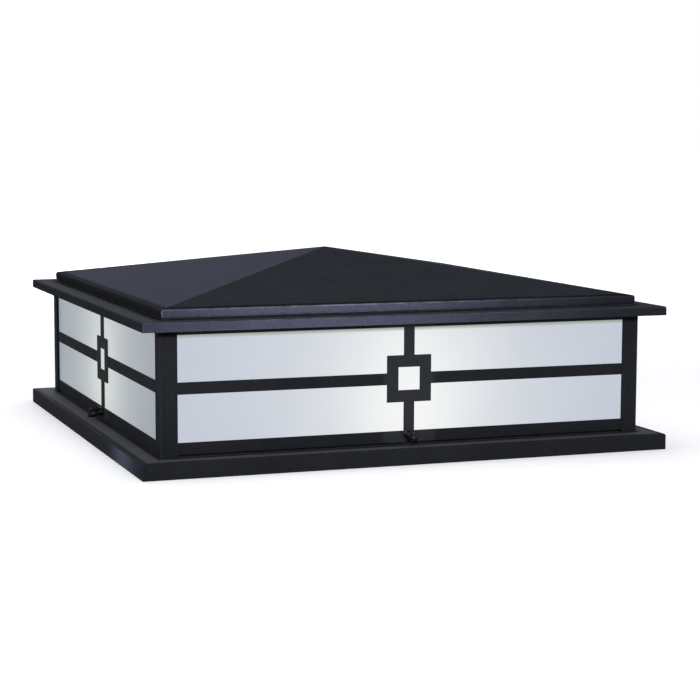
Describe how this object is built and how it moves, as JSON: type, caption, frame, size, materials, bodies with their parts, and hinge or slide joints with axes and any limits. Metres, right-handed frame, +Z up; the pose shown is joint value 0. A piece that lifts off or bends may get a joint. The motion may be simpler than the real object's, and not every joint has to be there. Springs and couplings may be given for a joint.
{
  "type": "deck post cap light",
  "caption": "Square post cap light: folded base pan and lift-off lantern with barred screens, opal panes, a flat eave and a low hipped roof, held by wing screws.",
  "frame": {"origin": "centre of the base, on the plane of the pan's lower edges", "axes": "+Z up along the light's axis, -Y out of the front, +X to the right seen from the front"},
  "size_m": [0.61, 0.61, 0.2192],
  "materials": {
    "base_paint": "fine textured powder coat, charcoal black",
    "inner_paint": "fine textured powder coat, charcoal black",
    "post_paint": "fine textured powder coat, charcoal black",
    "screen_paint": "fine textured powder coat, charcoal black",
    "eave_paint": "fine textured powder coat, charcoal black",
    "roof_paint": "fine textured powder coat, charcoal black",
    "screw_paint": "semi-gloss black",
    "opal_acrylic": "opal white, lit from inside",
    "foam_rubber": "closed-cell foam, black",
    "zinc_steel": "zinc plated",
    "box_steel": "galvanised grey",
    "porcelain": "white glaze",
    "lamp_brass": "plated screw shell",
    "lamp_glass": "frosted, lit",
    "black_wire": "insulation",
    "white_wire": "insulation",
    "green_wire": "insulation and paint",
    "connector_plastic": "moulded"
  },
  "bodies": {
    "base": {"base_pan": "base_paint", "base_gasket": "foam_rubber", "curb_frame": "inner_paint", "curb_rivets": "zinc_steel", "screw_bosses": "inner_paint", "wiring_box": "box_steel", "box_lid": "box_steel", "lid_screws": "zinc_steel", "box_screws": "zinc_steel", "wire_grommet": "foam_rubber", "ground_screw": "green_wire", "wire_nuts": "connector_plastic", "hot_leads": "black_wire", "neutral_leads": "white_wire", "ground_lead": "green_wire", "holder_nipples": "zinc_steel", "nipple_nuts": "zinc_steel", "lampholder_front": "porcelain", "lampholder_right": "porcelain", "lampholder_back": "porcelain", "lampholder_left": "porcelain", "lamp_cap_front": "lamp_brass", "lamp_cap_right": "lamp_brass", "lamp_cap_back": "lamp_brass", "lamp_cap_left": "lamp_brass", "lamp_globe_front": "lamp_glass", "lamp_globe_right": "lamp_glass", "lamp_globe_back": "lamp_glass", "lamp_globe_left": "lamp_glass"},
    "lantern": {"corner_post_front_left": "post_paint", "corner_post_front_right": "post_paint", "corner_post_back_right": "post_paint", "corner_post_back_left": "post_paint", "screen_front": "screen_paint", "screen_right": "screen_paint", "screen_back": "screen_paint", "screen_left": "screen_paint", "diffuser_front": "opal_acrylic", "diffuser_right": "opal_acrylic", "diffuser_back": "opal_acrylic", "diffuser_left": "opal_acrylic", "glazing_frame_front": "inner_paint", "glazing_frame_right": "inner_paint", "glazing_frame_back": "inner_paint", "glazing_frame_left": "inner_paint", "glazing_nuts": "zinc_steel", "eave_plate": "eave_paint", "roof_gasket": "foam_rubber", "roof_shell": "roof_paint", "roof_screws": "zinc_steel", "roof_nuts": "zinc_steel"},
    "washer_front": {"washer_front": "screw_paint"},
    "wing_screw_front": {"wing_screw_front": "screw_paint"},
    "washer_right": {"washer_right": "screw_paint"},
    "wing_screw_right": {"wing_screw_right": "screw_paint"},
    "washer_back": {"washer_back": "screw_paint"},
    "wing_screw_back": {"wing_screw_back": "screw_paint"},
    "washer_left": {"washer_left": "screw_paint"},
    "wing_screw_left": {"wing_screw_left": "screw_paint"}
  },
  "joints": [
    {"name": "lantern_lift", "type": "slide", "parent": "base", "child": "lantern", "axis": [0, 0, 1], "range_m": [0, 0.25]},
    {"name": "front_screw_travel", "type": "slide", "parent": "base", "child": "washer_front", "axis": [0, -1, 0], "range_m": [0, 0.0032]},
    {"name": "front_screw_spin", "type": "hinge", "parent": "washer_front", "child": "wing_screw_front", "pos_m": [0, -0.2797, 0.0284], "axis": [0, -1, 0], "range_deg": [0, 1442]},
    {"name": "right_screw_travel", "type": "slide", "parent": "base", "child": "washer_right", "axis": [1, 0, 0], "range_m": [0, 0.0032]},
    {"name": "right_screw_spin", "type": "hinge", "parent": "washer_right", "child": "wing_screw_right", "pos_m": [0.2797, 0, 0.0284], "axis": [1, 0, 0], "range_deg": [0, 1442]},
    {"name": "back_screw_travel", "type": "slide", "parent": "base", "child": "washer_back", "axis": [0, 1, 0], "range_m": [0, 0.0032]},
    {"name": "back_screw_spin", "type": "hinge", "parent": "washer_back", "child": "wing_screw_back", "pos_m": [0, 0.2797, 0.0284], "axis": [0, 1, 0], "range_deg": [0, 1442]},
    {"name": "left_screw_travel", "type": "slide", "parent": "base", "child": "washer_left", "axis": [-1, 0, 0], "range_m": [0, 0.0032]},
    {"name": "left_screw_spin", "type": "hinge", "parent": "washer_left", "child": "wing_screw_left", "pos_m": [-0.2797, 0, 0.0284], "axis": [-1, 0, 0], "range_deg": [0, 1442]}
  ],
  "couplings": [
    {"joint": "front_screw_spin", "follows": "front_screw_travel", "rad_per_m": 7854},
    {"joint": "right_screw_spin", "follows": "right_screw_travel", "rad_per_m": 7854},
    {"joint": "back_screw_spin", "follows": "back_screw_travel", "rad_per_m": 7854},
    {"joint": "left_screw_spin", "follows": "left_screw_travel", "rad_per_m": 7854}
  ]
}
